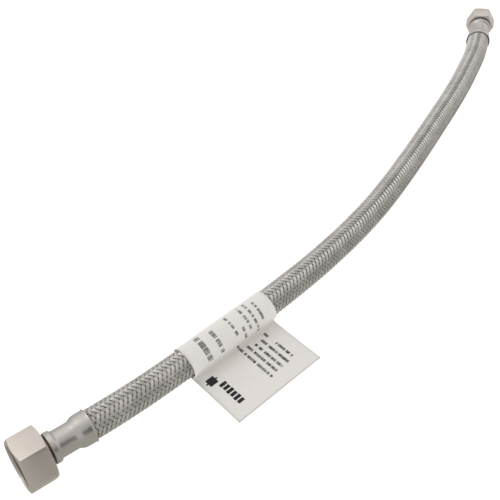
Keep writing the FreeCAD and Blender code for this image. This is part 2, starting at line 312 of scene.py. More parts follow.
@dataclass(frozen=True)
class NickelPlate(Finish):
    """Satin nickel over machined brass, warmer where the plating is thin, with painted shade on
    the back face and in the bore.
    """

    NAME = "nickel_plate"

    axis: Vector
    back: Vector
    back_shade_radius: float
    bore_radius: float
    base: tuple = (0.66, 0.615, 0.58)
    thin: tuple = (0.62, 0.56, 0.48)
    # Painted shade on the back face round the neck.
    brown: tuple = (0.30, 0.22, 0.13)
    # Painted shade in the bore.
    shade: tuple = (0.24, 0.21, 0.17)
    roughness: float = 0.34
    grain_cells: float = 1500.0
    patch_cells: float = 70.0

    def paint(self, shader: Shader) -> None:
        """Feed the shader."""
        grain = shader.noise(self.grain_cells, 4.0)
        patch = shader.noise(self.patch_cells, 2.0)
        station = shader.along(self.axis)
        turned = shader.line_noise(station, 6.0, 3.0)
        radius = shader.off_axis(self.back, self.axis)
        behind = station < self.back.dot(self.axis.normalized()) / MM + 0.05
        plated = shader.blend((patch * 1.2 - 0.3).clipped(), self.base, self.thin)
        # Painted shade: the back face near the axis is coloured dark brown, where the ferrule's
        # rim meets the nut.
        back_shaded = shader.blend(behind * (radius < self.back_shade_radius), plated, self.brown)
        # Painted shade: the bore within bore_radius of the axis, where the thread is, is coloured
        # dark.
        shader.surface(Metallic=1.0,
                       Base_Color=shader.blend(radius < self.bore_radius, back_shaded, self.shade),
                       Roughness=self.roughness + (patch * 0.10) + (grain * 0.06))
        shader.bump(grain * 0.7 + turned * 0.3, 0.03 * MM, 0.45)


@dataclass(frozen=True)
class BareBrass(Finish):
    """Machined brass, browned by handling."""

    NAME = "bare_brass"

    axis: Vector
    fresh: tuple = (0.78, 0.58, 0.28)
    brown: tuple = (0.30, 0.19, 0.085)
    roughness: float = 0.30
    stain_cells: float = 200.0

    def paint(self, shader: Shader) -> None:
        """Feed the shader."""
        rings = shader.line_noise(shader.along(self.axis), 5.0, 3.0)
        stain = shader.noise(self.stain_cells, 4.0)
        mask = (stain * 1.3 - 0.25).clipped()
        shader.surface(Metallic=1.0, Base_Color=shader.blend(mask, self.fresh, self.brown),
                       Roughness=self.roughness + (stain * 0.25))
        shader.bump(rings, 0.04 * MM, 0.5)


@dataclass(frozen=True)
class MouldedRubber(Finish):
    """Black moulded rubber with a chalky bloom."""

    NAME = "moulded_rubber"

    base: tuple = (0.018, 0.018, 0.019)
    bloom: tuple = (0.060, 0.060, 0.062)
    roughness: float = 0.55
    cloud_cells: float = 350.0
    skin_cells: float = 2400.0

    def paint(self, shader: Shader) -> None:
        """Feed the shader."""
        cloud = shader.noise(self.cloud_cells, 4.0)
        mask = (cloud * 1.6 - 0.5).clipped()
        shader.surface(Base_Color=shader.blend(mask, self.base, self.bloom),
                       Roughness=self.roughness + (cloud * 0.25))
        shader.bump(shader.noise(self.skin_cells, 3.0), 0.05 * MM, 0.5)


@dataclass(frozen=True)
class PrintMark:
    """One printed area: its middle and size in millimetres on the flat strip.

    u runs along the hose, v from the upper leaf's outer edge over the loop. Words are the
    cells per millimetre that break the area up, 0 for a solid one.
    """

    u: float
    v: float
    across: float
    length: float
    words: float = 0.0
    ink: float = 1.0


@dataclass(frozen=True)
class PrintedPaper(Finish):
    """Matt label paper with rows of small print, broken into dashes."""

    NAME = "printed_paper"

    width: float
    length: float
    marks: tuple[PrintMark, ...]
    white: tuple = (0.875, 0.85, 0.81)
    cream: tuple = (0.82, 0.79, 0.75)
    ink: tuple = (0.018, 0.018, 0.021)
    roughness: float = 0.62
    fibre_cells: float = 900.0
    row_shift: float = 17.0
    row_above: float = 0.37
    glyph_shift: float = 5.0
    glyph_cells: float = 6.0
    glyph_above: float = 0.34
    rise_way: tuple = (3.1, 2.3)
    rise_cells: float = 2.4
    rise_above: float = 0.30

    def paint(self, shader: Shader) -> None:
        """Feed the shader."""
        flat = shader.node("ShaderNodeUVMap", {"uv_map": "UVMap"})
        across = shader.node("ShaderNodeSeparateXYZ", {}, flat, out=0) * self.width
        along = shader.node("ShaderNodeSeparateXYZ", {}, flat, out=1) * self.length
        fibre = shader.noise(self.fibre_cells, 4.0)
        printed = None
        for mark in self.marks:
            area = self._inked(shader, mark, across, along)
            printed = area if printed is None else printed.either(area)
        paper = shader.blend((fibre * 1.4 - 0.2).clipped(), self.white, self.cream)
        mask = (printed * (fibre * 0.2 + 0.9)).clipped()
        shader.surface(Base_Color=shader.blend(mask, paper, self.ink), Roughness=self.roughness,
                       Specular_IOR_Level=0.2)
        shader.bump(fibre, 0.02 * MM, 0.35)

    def _inked(self, shader: Shader, mark: PrintMark, across: Value, along: Value) -> Value:
        """How much ink one printed area puts at a place across and along the strip."""
        wide = abs(across - mark.u) < mark.across / 2
        area = wide * (abs(along - mark.v) < mark.length / 2)
        if mark.words:
            row = shader.line_noise(along + mark.u * self.row_shift, mark.words, 0.0)
            glyphs = shader.line_noise(along + mark.u * self.glyph_shift,
                                       mark.words * self.glyph_cells, 0.0)
            rise = shader.line_noise(across * self.rise_way[0] + along * self.rise_way[1],
                                     self.rise_cells, 0.0)
            area = area * (row > self.row_above) * (glyphs > self.glyph_above)
            area = area * (rise > self.rise_above)
        return area * mark.ink


# ---- mesh work ----
class Workpiece:
    """A mesh on the bench: built with operators, then placed and finished as one piece."""

    def __init__(self) -> None:
        """Start with nothing."""
        self.bm = bmesh.new()

    def outline(self, points: Sequence[tuple[float, float]], closed: bool = True) -> list:
        """Draw an outline in the half plane above the X axis.

        Args:
            points: (s, radius) pairs in millimetres.
            closed: Whether the last point joins the first.
        """
        verts = [self.bm.verts.new((s * MM, r * MM, 0.0)) for s, r in points]
        pairs = list(zip(verts, verts[1:] + ([verts[0]] if closed else [])))
        return verts + [self.bm.edges.new(pair) for pair in pairs]

    def turn(self, points: Sequence[tuple[float, float]], steps: int = 96,
             closed: bool = True) -> "Workpiece":
        """Turn an outline about the X axis, as on a lathe.

        Args:
            points: (s, radius) pairs in millimetres.
            steps: Faces round the piece.
            closed: Whether it is closed; an open one starts and ends on the axis.
        """
        bmesh.ops.spin(self.bm, geom=self.outline(points, closed), cent=(0, 0, 0), axis=(1, 0, 0),
                       angle=FULL_TURN, steps=steps, use_merge=True)
        bmesh.ops.remove_doubles(self.bm, verts=self.bm.verts, dist=SAME_POINT)
        self.outwards()
        return self

    def thread(self, points: Sequence[tuple[float, float]], pitch: float, turns: float,
               steps: int = 64) -> "Workpiece":
        """Sweep a closed outline along a right-hand helix about the X axis, in millimetres."""
        count = round(turns * steps)
        geom = self.outline(points)
        bmesh.ops.spin(self.bm, geom=geom, cent=(0, 0, 0), axis=(1, 0, 0),
                       dvec=(pitch * MM / steps, 0, 0), angle=FULL_TURN * turns, steps=count)
        bmesh.ops.holes_fill(self.bm, edges=[e for e in self.bm.edges if e.is_boundary])
        self.outwards()
        return self

    def hexagon(self, start: float, end: float, flats: float) -> "Workpiece":
        """Add a hexagonal bar on the X axis, one flat up and one down, in millimetres."""
        place = Matrix.Translation((start * MM, 0, 0)) @ Matrix.Rotation(pi / 2, 4, "Y")
        corner = flats / sqrt(3) * MM
        made = bmesh.ops.create_circle(self.bm, cap_ends=True, segments=6, radius=corner,
                                       matrix=place)
        if isclose(max(v.co.z for v in made["verts"]), corner, rel_tol=0.01):
            bmesh.ops.rotate(self.bm, verts=made["verts"], cent=(0, 0, 0),
                             matrix=Matrix.Rotation(pi / 6, 3, "X"))
        grown = bmesh.ops.extrude_face_region(self.bm, geom=list(self.bm.faces))
        moved = [g for g in grown["geom"] if isinstance(g, bmesh.types.BMVert)]
        bmesh.ops.translate(self.bm, verts=moved, vec=((end - start) * MM, 0, 0))
        self.outwards()
        return self

    def outwards(self) -> None:
        """Point every face outwards."""
        bmesh.ops.recalc_face_normals(self.bm, faces=self.bm.faces)

    def ease(self, width: float, above: float) -> None:
        """Bevel the edges whose faces meet at more than an angle, in millimetres and degrees."""
        sharp = [e for e in self.bm.edges
                 if len(e.link_faces) == 2 and e.calc_face_angle(0.0) > radians(above)]
        bmesh.ops.bevel(self.bm, geom=sharp, offset=width * MM, segments=2, profile=0.5,
                        affect="EDGES", clamp_overlap=True, material=-1)

    def take(self, mesh: bpy.types.Mesh) -> "Workpiece":
        """Add a mesh's faces to this piece."""
        self.bm.from_mesh(mesh)
        return self

    def mesh(self, name: str) -> bpy.types.Mesh:
        """Write the mesh and let go of the bench copy."""
        made = bpy.data.meshes.new(name)
        self.bm.to_mesh(made)
        self.bm.free()
        return made

    def piece(self, name: str, place: Matrix, crease: float = 32.0) -> bpy.types.Object:
        """Place the mesh, shade it smooth up to an angle and make it an object.

        Args:
            name: The piece's name.
            place: Its own frame in the frame of the parts.
            crease: Edges sharper than this many degrees stay sharp.

        Returns:
            The object, at the origin and unturned.
        """
        bmesh.ops.transform(self.bm, matrix=place, verts=self.bm.verts)
        made = self.mesh(name)
        made.shade_smooth()
        made.set_sharp_from_angle(angle=radians(crease))
        return show(name, made)


def show(name: str, data: bpy.types.ID) -> bpy.types.Object:
    """Put a mesh or curve in the scene as an object at the origin."""
    made = bpy.data.objects.new(name, data)
    bpy.context.scene.collection.objects.link(made)
    return made


def cut(body: Workpiece, tool: Workpiece, how: str) -> Workpiece:
    """Combine two closed workpieces.

    Args:
        body: What is cut.
        tool: What it is cut with.
        how: The Boolean modifier's operation.

    Returns:
        A new workpiece with the result.
    """
    first = show("blank", body.mesh("blank"))
    second = show("cutter", tool.mesh("cutter"))
    modifier = first.modifiers.new("cut", "BOOLEAN")
    modifier.operation = how
    modifier.solver = "MANIFOLD"
    modifier.object = second
    bpy.context.view_layer.update()
    evaluated = first.evaluated_get(bpy.context.evaluated_depsgraph_get())
    result = Workpiece().take(evaluated.to_mesh())
    evaluated.to_mesh_clear()
    for spent in (first, second):
        data = spent.data
        bpy.data.objects.remove(spent)
        bpy.data.meshes.remove(data)
    return result


def dress(piece: bpy.types.Object, material: bpy.types.Material) -> None:
    """Give a piece its one material."""
    piece.data.materials.clear()
    piece.data.materials.append(material)


def repaint(node: str, material: bpy.types.Material) -> None:
    """Give a carried-over part a better material in every slot it has."""
    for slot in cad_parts[node].material_slots:
        slot.material = material


def frame_on(origin: Vector, axis: Vector) -> Matrix:
    """A frame at a point with X along an axis and Z as near upright as it can be."""
    side = UP.cross(axis).normalized()
    turned = Matrix((axis, side, axis.cross(side))).transposed().to_4x4()
    return Matrix.Translation(origin) @ turned


def arc(centre: tuple[float, float], radius: float, start: float, end: float,
        count: int) -> list[tuple[float, float]]:
    """Points round part of a circle, from one angle to another in degrees."""
    angles = [radians(start + (end - start) * i / count) for i in range(count + 1)]
    return [(centre[0] + radius * cos(a), centre[1] + radius * sin(a)) for a in angles]


def s_curve(start: float, end: float, low: float, high: float,
            count: int = 10) -> list[tuple[float, float]]:
    """Points of a smooth step between two radii, both ends left out."""
    shares = [i / count for i in range(1, count)]
    return [(start + (end - start) * x, low + (high - low) * (x * x * (3 - 2 * x)))
            for x in shares]


# ---- hose ----
class HoseLine:
    """The hose's centre line, read from its spline, with a frame at each point."""

    def __init__(self, curve: bpy.types.Object) -> None:
        """Read the line.

        Args:
            curve: The spline's object, with no bevel.
        """
        mesh = bpy.data.meshes.new_from_object(curve)
        points = np.empty(len(mesh.vertices) * 3)
        mesh.vertices.foreach_get("co", points)
        bpy.data.meshes.remove(mesh)
        self.points = points.reshape(-1, 3)
        steps = np.linalg.norm(np.diff(self.points, axis=0), axis=1)
        self.stations = np.concatenate([[0.0], np.cumsum(steps)])
        ahead = np.gradient(self.points, self.stations, axis=0)
        ahead /= np.linalg.norm(ahead, axis=1)[:, None]
        self.side = np.cross((0.0, 0.0, 1.0), ahead)
        self.side /= np.linalg.norm(self.side, axis=1)[:, None]
        self.up = np.cross(ahead, self.side)

    @property
    def length(self) -> float:
        """The line's length in metres."""
        return float(self.stations[-1])

    def wrap(self, station: np.ndarray, angle: np.ndarray, radius: np.ndarray) -> np.ndarray:
        """Points on a tube round the line.

        Args:
            station: Distances along the line.
            angle: Angles round it, 0 on top.
            radius: Distances from it.

        Returns:
            One row per point.
        """
        def at(values: np.ndarray) -> np.ndarray:
            """The values at the stations."""
            return np.stack([np.interp(station, self.stations, column) for column in values.T], 1)
        out = at(self.up) * np.cos(angle)[:, None] + at(self.side) * np.sin(angle)[:, None]
        return at(self.points) + out * radius[:, None]


@dataclass
class Hose:
    """The rubber tube and the braid of flat wire bundles on it."""

    carriers: int = 12
    lead: float = 28.4 * MM
    bundle_width: float = 1.58 * MM
    wires: int = 7
    wire: float = 0.25 * MM
    crown: float = 0.11 * MM
    crossing_gap: float = 0.34 * MM
    core_radius: float = 6.40 * MM
    phase: float = 20.0
    bundles_per_piece: int = 6
    line: HoseLine = field(init=False)
    core: bpy.types.Object = field(init=False)
    braid: list[bpy.types.Object] = field(default_factory=list)

    # Height of a bundle at eight stations over four crossings: over two, then under two.
    WEAVE = (1.0, 1.0, 0.7, -0.7, -1.0, -1.0, -0.7, 0.7)
    # The left hand's place in that weave against the right hand's.
    LEFT_SHIFT = 3
    # A bundle's section, in wires: crests and valleys on top, and its flat underside.
    CREST, VALLEY, SHOULDER, UNDERSIDE = 0.5, 0.10, -0.05, -0.45
    UNDERSIDE_SHARE = 0.46
    SEED, RIGHT_SEED = 11, 100

    def build(self) -> None:
        """Lay the line, the tube and the braid."""
        curve = bpy.data.curves.new("hose_tube", "CURVE")
        curve.dimensions = "3D"
        curve.resolution_u = 64
        spline = curve.splines.new("NURBS")
        spline.points.add(len(ROUTE) - 1)
        for point, place in zip(spline.points, ROUTE):
            point.co = (*place, 1.0)
        spline.order_u = 3
        spline.use_endpoint_u = True
        self.core = show("hose_tube", curve)
        bpy.context.view_layer.update()
        self.line = HoseLine(self.core)
        curve.bevel_depth = self.core_radius
        curve.bevel_resolution = 8
        curve.use_fill_caps = True
        LOG.info("hose line %.1f mm", self.line.length / MM)
        for hand in Hand:
            for first in range(0, self.carriers, self.bundles_per_piece):
                self.braid.append(self._sheaf(hand, first))

    def _section(self) -> tuple[np.ndarray, np.ndarray]:
        """A bundle's cross-section: places across it and heights, wires on top, flat below."""
        tops = 2 * self.wires + 1
        across = np.linspace(-0.5, 0.5, tops) * self.bundle_width
        height = np.where(np.arange(tops) % 2, self.CREST, self.VALLEY) * self.wire
        height[[0, -1]] = self.SHOULDER * self.wire
        below = np.array([self.UNDERSIDE_SHARE, -self.UNDERSIDE_SHARE]) * self.bundle_width
        across = np.concatenate([across, below])
        height = np.concatenate([height, np.full(2, self.UNDERSIDE * self.wire)])
        return across, height - self.crown * (2 * across / self.bundle_width) ** 2

    def _blank(self, sections: int, stations: int) -> bpy.types.Mesh:
        """A straight closed tube with that many points round it and along it."""
        work = Workpiece()
        bmesh.ops.create_cone(work.bm, cap_ends=True, segments=sections, radius1=1.0,
                              radius2=1.0, depth=1.0)
        lengthwise = [e for e in work.bm.edges if abs(e.verts[0].co.z - e.verts[1].co.z) > 0.5]
        bmesh.ops.subdivide_edges(work.bm, edges=lengthwise, cuts=stations - 2,
                                  use_grid_fill=True)
        return work.mesh("bundle_blank")

    def _sheaf(self, hand: Hand, first: int) -> bpy.types.Object:
        """Several bundles of one hand as one piece.

        Args:
            hand: Which way they wind.
            first: The first bundle's index.

        Returns:
            The piece.
        """
        across, height = self._section()
        columns = 2 * self.carriers
        pitch = self.lead / columns
        count = int(self.line.length / pitch) * 2 - 1
        blank = self._blank(len(across), count)
        work = Workpiece()
        places, tones = [], []
        co = np.empty(len(blank.vertices) * 3)
        blank.vertices.foreach_get("co", co)
        co = co.reshape(-1, 3)
        row = np.rint((co[:, 2] + 0.5) * (count - 1)).astype(int)
        spot = np.rint(np.arctan2(co[:, 1], co[:, 0]) / FULL_TURN * len(across)).astype(int)
        spot %= len(across)
        mean = HOSE_DIAMETER / 2 - self.wire / 2 - self.crossing_gap / 2
        slant = np.arctan(FULL_TURN * mean / self.lead)
        rng = np.random.default_rng(self.SEED + first + self.RIGHT_SEED * (hand is Hand.RIGHT))
        for index in range(first, first + self.bundles_per_piece):
            work.take(blank)
            # Columns are the places round the hose where bundles cross, counted round it.
            start = 2 * index * hand.value
            step = 2 * start + row
            column = step / 2 + 0.25
            station = (column - start) * pitch
            angle = column / columns * FULL_TURN * hand.value + radians(self.phase)
            lift = np.array(self.WEAVE)[self._phase(step, hand)]
            lean = across[spot]
            station = station - lean / (2 * sin(slant))
            angle = angle + hand.value * lean / (2 * cos(slant)) / mean
            drift = rng.normal(0.0, 0.02 * MM)
            radius = mean + lift * self.crossing_gap / 2 + height[spot] + drift * 0.2
            places.append(self.line.wrap(np.clip(station, 0, self.line.length), angle, radius))
            wire_tones = rng.uniform(0.25, 1.0, len(across))
            tones.append(0.5 * wire_tones[spot // 2] + 0.5 * rng.uniform(0.3, 1.0))
        name = f"braid_{hand.name.lower()}_{first // self.bundles_per_piece + 1}"
        mesh = work.mesh(name)
        mesh.vertices.foreach_set("co", np.concatenate(places).ravel())
        tone = mesh.attributes.new("wire_tone", "FLOAT", "POINT")
        tone.data.foreach_set("value", np.concatenate(tones).astype(np.float32))
        bpy.data.meshes.remove(blank)
        straightened = Workpiece().take(mesh)
        bpy.data.meshes.remove(mesh)
        straightened.outwards()
        return straightened.piece(name, Matrix.Identity(4), 75.0)

    def _phase(self, step: np.ndarray, hand: Hand) -> np.ndarray:
        """Which of the weave's eight heights each step has."""
        if hand is Hand.RIGHT:
            return step % len(self.WEAVE)
        return (self.LEFT_SHIFT - step) % len(self.WEAVE)

    def dress(self, mouth: Vector, ends: Sequence[bpy.types.Object]) -> None:
        """Args:
            mouth: Where it leaves the first ferrule. Not used.
            ends: The pieces of the far fitting that go with it. Not used.
        """
        rubber = MouldedRubber().make()
        wire = BrightWire().make()
        dress(self.core, rubber)
        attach(self.core, "hose")
        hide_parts("inner_tube")
        for sheaf in self.braid:
            dress(sheaf, wire)
            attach(sheaf, "hose")
            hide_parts("braid_sleeve")


# ---- fittings ----
@dataclass
class Ferrule:
    """The pressed cup that clamps hose and braid on the nipple. Sizes in millimetres."""

    neck: float
    length: float = 20.0
    wall: float = 0.45
    lip: float = 15.6
    mouth: float = 15.3
    flare: float = 0.46
    flare_length: float = 1.1
    waist: float = 12.9
    rim: float = 14.9
    lip_end: float = 5.2
    waist_start: float = 8.6
    waist_end: float = 15.8
    rim_start: float = 17.4
    corner: float = 0.9
    fit: float = 0.05
    lip_edge: float = 0.10
    crease: float = 40.0

    # Where the bell's outline has its points, in shares of the way from mouth to lip_end.
    BELL = (0.0, 0.04, 0.08, 0.12, 0.18, 0.25, 0.4, 0.55, 0.7, 0.85)

    def _outside(self, inset: float) -> list[tuple[float, float]]:
        """The outside from mouth to rim, moved in by inset."""
        mouth, waist, rim = (d / 2 - inset for d in (self.mouth, self.waist, self.rim))
        belly = self.lip / 2 - self.mouth / 2
        bell = [(self.lip_end * x, mouth + belly * sin(pi * x)
                 + self.flare * max(0.0, 1.0 - self.lip_end * x / self.flare_length) ** 2)
                for x in self.BELL]
        bell.append((self.lip_end, mouth))
        falling = s_curve(self.lip_end, self.waist_start, mouth, waist)
        rising = s_curve(self.waist_end, self.rim_start, waist, rim)
        middle = [(self.waist_start, waist), (self.waist_end, waist)]
        return [*bell, *falling, *middle, *rising, (self.rim_start, rim)]

    def build(self, name: str, place: Matrix) -> bpy.types.Object:
        """Turn the cup and place it."""
        outer = self._outside(0.0)
        inner = self._outside(self.wall)
        rim = self.rim / 2
        centre = (self.length - self.corner, rim - self.corner)
        hole = self.neck / 2 + self.fit
        floor = self.length - self.wall
        turned = arc(centre, self.corner, 90.0, 0.0, 6)
        inside = arc(centre, self.corner - self.wall, 0.0, 90.0, 4)
        lip = [(-self.lip_edge, self.mouth / 2 + self.flare - self.wall / 2)]
        outline = [*outer, *turned, (self.length, hole), (floor, hole), *inside,
                   *reversed(inner), *lip]
        return Workpiece().turn(outline, 128).piece(name, place, self.crease)


@dataclass
class SwivelNut:
    """A hexagonal nut with turned ends and a real thread. Sizes in millimetres."""

    start: float
    flats: float
    length: float
    back: float
    neck: float
    minor: float
    relief: float
    relief_length: float
    pitch: float
    face_share: float = 0.985
    chamfer: float = 24.0
    mouth_chamfer: float = 0.7
    clearance: float = 0.3
    edge: float = 0.16

    # The thread's depth and the half widths of its foot and crest, in pitches.
    DEPTH, FOOT, CREST = 0.62, 0.46, 0.09
    # The ridge's distance from relief and mouth, and its place in and out of the wall.
    LEAD_IN, LEAD_OUT, SUNK, PROUD = 0.25, 0.55, 0.2, 0.02
    # How far cutters pass the nut, the relief's slope, and the mouth's countersink.
    PAST, SLOPE, COUNTERSINK = 1.0, 0.1, 0.5
    # Metres between points that are one, and degrees that make one flat and an edge.
    WELD, FLAT, SHARP = 1e-6, 0.5, 15.0

    def build(self, name: str, place: Matrix) -> bpy.types.Object:
        """Cut the nut from hexagonal bar and chase its thread."""
        end = self.start + self.length
        face = self.flats / 2 * self.face_share
        reach = self.flats / sqrt(3) + self.PAST
        slope = (reach - face) * tan(radians(self.chamfer))
        cones = [(self.start, 0), (self.start, face), (self.start + slope, reach),
                 (end - slope, reach), (end, face), (end, 0)]
        root = self.minor / 2 + self.DEPTH * self.pitch
        shoulder = self.start + self.back + self.relief_length
        flare = max(self.minor / 2 + self.mouth_chamfer, root + self.SLOPE)
        hole = self.neck / 2 + self.clearance
        before, after = self.start - self.PAST, end + self.PAST
        seat = self.start + self.back
        bore = [(before, 0), (before, hole), (seat, hole), (seat, self.relief / 2),
                (shoulder, self.relief / 2), (shoulder + self.SLOPE, root),
                (end - self.COUNTERSINK, root), (end, flare), (after, flare), (after, 0)]
        chamfered = cut(Workpiece().hexagon(self.start, end, self.flats),
                        Workpiece().turn(cones, closed=False), "INTERSECT")
        nut = cut(chamfered, Workpiece().turn(bore, closed=False), "DIFFERENCE")
        bmesh.ops.remove_doubles(nut.bm, verts=nut.bm.verts, dist=self.WELD)
        bmesh.ops.dissolve_limit(nut.bm, angle_limit=radians(self.FLAT), verts=nut.bm.verts,
                                 edges=nut.bm.edges)
        nut.ease(self.edge, self.SHARP)
        nut.take(self._thread(shoulder, end, root))
        return nut.piece(name, place)

    def _thread(self, shoulder: float, end: float, root: float) -> bpy.types.Mesh:
        """The thread's ridge, sunk a little into the wall, from shoulder to mouth."""
        first = shoulder + self.LEAD_IN
        crest = self.minor / 2
        foot = self.pitch * self.FOOT
        flat = self.pitch * self.CREST
        last = first + 2 * foot
        ridge = [(first, root + self.SUNK), (first, root - self.PROUD),
                 (first + foot - flat, crest), (first + foot + flat, crest),
                 (last, root - self.PROUD), (last, root + self.SUNK)]
        turns = (end - self.LEAD_OUT - 2 * foot - first) / self.pitch
        return Workpiece().thread(ridge, self.pitch, turns).mesh("thread")


class Fitting(Enum):
    """The two ends of the line."""

    PIPE = "fip"
    COMPRESSION = "comp"


@dataclass
class EndFitting:
    """One end of the line: ferrule, nipple, washer or seal, and swivel nut."""

    kind: Fitting
    nut: SwivelNut
    seal_node: str

    def __post_init__(self) -> None:
        """Find the fitting's own frame: origin at the ferrule's mouth, X out of the hose."""
        first, second = (0, 1) if self.kind is Fitting.PIPE else (-1, -2)
        end, before = Vector(ROUTE[first]), Vector(ROUTE[second])
        self.axis = (end - before).normalized()
        self.mouth = end - self.axis * ROUTE_INSET
        self.place = frame_on(self.mouth, self.axis)

    def build(self) -> None:
        """Build the ferrule and the nut; nipple and seal are carried over."""
        tag = self.kind.value
        self.cup = Ferrule(neck=self.nut.neck).build(f"{tag}_ferrule_cup", self.place)
        self.swivel = self.nut.build(f"{tag}_swivel_nut", self.place)
        LOG.info("%s fitting at %s", tag, tuple(round(x, 4) for x in self.mouth))

    def dress(self) -> None:
        """Give every piece its finish, and the ferrule and the nut their bodies."""
        tag = self.kind.value
        # The ferrule gets painted shade inside its mouth.
        sheet = PressedStainless(self.axis, self.mouth, inside_depth=5.0,
                                 inside_radius=Ferrule.mouth / 2 - 0.01)
        dress(self.cup, sheet.make())
        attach(self.cup, "hose")
        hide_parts(f"{tag}_ferrule")
        back = self.mouth + self.axis * self.nut.start * MM
        # The nut gets painted shade on its back face near the axis and in its bore.
        plate = NickelPlate(self.axis, back, back_shade_radius=self.nut.flats * 0.44,
                            bore_radius=self.nut.minor / 2 + 0.8)
        dress(self.swivel, plate.make())
        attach(self.swivel, f"{tag}_nut")
        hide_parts(f"{tag}_nut")
        repaint(f"{tag}_nipple", BareBrass(self.axis).make())
        repaint(self.seal_node, MouldedRubber().make())


# ---- paper tag ----
@dataclass
class PaperTag:
    """One strip of paper round the hose, its ends stuck together as a flag. Millimetres."""

    width: float = 51.6
    reach: float = 38.5
    paper: float = 0.25
    dry_share: float = 0.9
    loop_radius: float = 7.925
    fillet: float = 1.0
    leaf_gap: float = 0.02
    leaf_step: float = 0.35
    curl: float = 0.9
    curl_side: float = 0.35
    run: int = 2
    offset: float = -1.2
    rows_along: int = 26
    rows_round: int = 150

    # Rows of small print on the flag: place along the hose, and its ends' reach from the hose.
    FLAG_ROWS = ((27.6, 5.0, 30.5), (31.4, 8.0, 29.5), (35.0, 10.0, 29.5), (38.9, 9.0, 29.7),
                 (42.8, 16.5, 29.0))
    # And on the loop: place along the hose, degrees above the near side, and length.
    LOOP_ROWS = ((27.4, 66, 12.5), (35.4, 62, 13.0), (39.2, 66, 12.6), (43.4, 56, 10.5),
                 (31.6, 14, 7.0), (39.6, -8, 6.0))

    def __post_init__(self) -> None:
        """Work out where the strip leaves the loop, and the tag's own frame."""
        self.upper = -self.loop_radius + self.paper + self.leaf_gap
        lift = self.upper + self.fillet
        self.leave = sqrt((self.loop_radius + self.fillet) ** 2 - lift ** 2)
        self.contact = np.degrees(np.arctan2(-lift, self.leave))
        self.upper_leaf = self.reach - self.leaf_step - self.leave
        self.bend = radians(90.0 - self.contact) * self.fillet
        self.round = radians(self.contact + 180.0 + 90.0) * self.loop_radius
        self.length = self.upper_leaf + self.bend + self.round + self.reach
        start, end = Vector(ROUTE[self.run]), Vector(ROUTE[self.run + 1])
        axis = (end - start).normalized()
        centre = (start + end) / 2 + axis * self.offset * MM
        self.place = frame_on(centre, axis)

    def _fold(self, v: float) -> tuple[float, float]:
        """Where the strip's middle lies across the hose, v millimetres from its first end."""
        if v <= self.upper_leaf:
            return -(self.reach - self.leaf_step) + v, self.upper
        v -= self.upper_leaf
        if v <= self.bend:
            turn = v / self.fillet
            return (-self.leave + self.fillet * sin(turn),
                    self.upper + self.fillet - self.fillet * cos(turn))
        v -= self.bend
        if v <= self.round:
            turn = radians(180.0 + self.contact) - v / self.loop_radius
            return self.loop_radius * cos(turn), self.loop_radius * sin(turn)
        return -(v - self.round), -self.loop_radius

    def build(self) -> None:
        """Fold the strip round the hose."""
        work = Workpiece()
        bmesh.ops.create_grid(work.bm, x_segments=self.rows_along, y_segments=self.rows_round,
                              size=0.5, calc_uvs=True)
        layer = work.bm.loops.layers.uv.verify()
        for face in work.bm.faces:
            for loop in face.loops:
                loop[layer].uv = (loop.vert.co.x + 0.5, loop.vert.co.y + 0.5)
        for vert in work.bm.verts:
            v = (vert.co.y + 0.5) * self.length
            y, z = self._fold(v)
            x = vert.co.x * self.width
            out = max(0.0, -y - self.leave) / self.reach
            curl = self.curl * out ** 2 * max(0.0, x / self.width + self.curl_side)
            vert.co = (x * MM, y * MM, (z + curl) * MM)
        self.piece = work.piece("folded_tag", self.place, 180.0)
        self.piece.data.uv_layers[0].name = "UVMap"
        wall = self.piece.modifiers.new("paper", "SOLIDIFY")
        wall.thickness = self.paper * self.dry_share * MM
        wall.offset = 0.0
        LOG.info("tag strip %.1f x %.1f mm", self.width, self.length)

    def _flag(self, out: float) -> float:
        """Place on the strip of a point of the upper leaf, from its reach."""
        return self.reach - self.leaf_step - out

    def _loop(self, angle: float) -> float:
        """Place on the strip of a point of the loop, in degrees above the near side."""
        return self.upper_leaf + self.bend + radians(self.contact + angle) * self.loop_radius

    def _print(self) -> tuple[PrintMark, ...]:
        """Rows of dashes on flag and loop, and one heavy generic block."""
        flag, loop = self._flag, self._loop
        marks = [PrintMark(u, flag((a + b) / 2), 1.5, b - a, 0.55) for u, a, b in self.FLAG_ROWS]
        marks += [PrintMark(42.6, flag(9.5), 1.5, 3.0, ink=0.8),
                  PrintMark(5.6, flag(12.2), 4.6, 4.6), PrintMark(5.6, flag(12.2), 6.6, 0.9)]
        marks += [PrintMark(8.4, flag(17.2 + 2.55 * i), 3.9 - 0.4 * (i % 2), 1.9)
                  for i in range(6)]
        marks += [PrintMark(9.8, loop(60), 2.9, 15.5, 0.36, 0.80),
                  PrintMark(17.3, loop(50), 2.1, 13.0, 0.42, 0.78)]
        marks += [PrintMark(u, loop(a), 1.4, b, 0.55, 0.85) for u, a, b in self.LOOP_ROWS]
        return tuple(marks)

    def dress(self) -> None:
        """Print the tag and let it turn on the hose."""
        paper = PrintedPaper(self.width, self.length, self._print()).make()
        dress(self.piece, paper)
        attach(self.piece, "label")
        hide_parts("label_tag")
        self.width * MM


# ---- studio ----
@dataclass(frozen=True)
class Softbox:
    """A rectangular light aimed at the line's middle: place and size in metres."""

    name: str
    place: tuple
    size: tuple
    watts: float


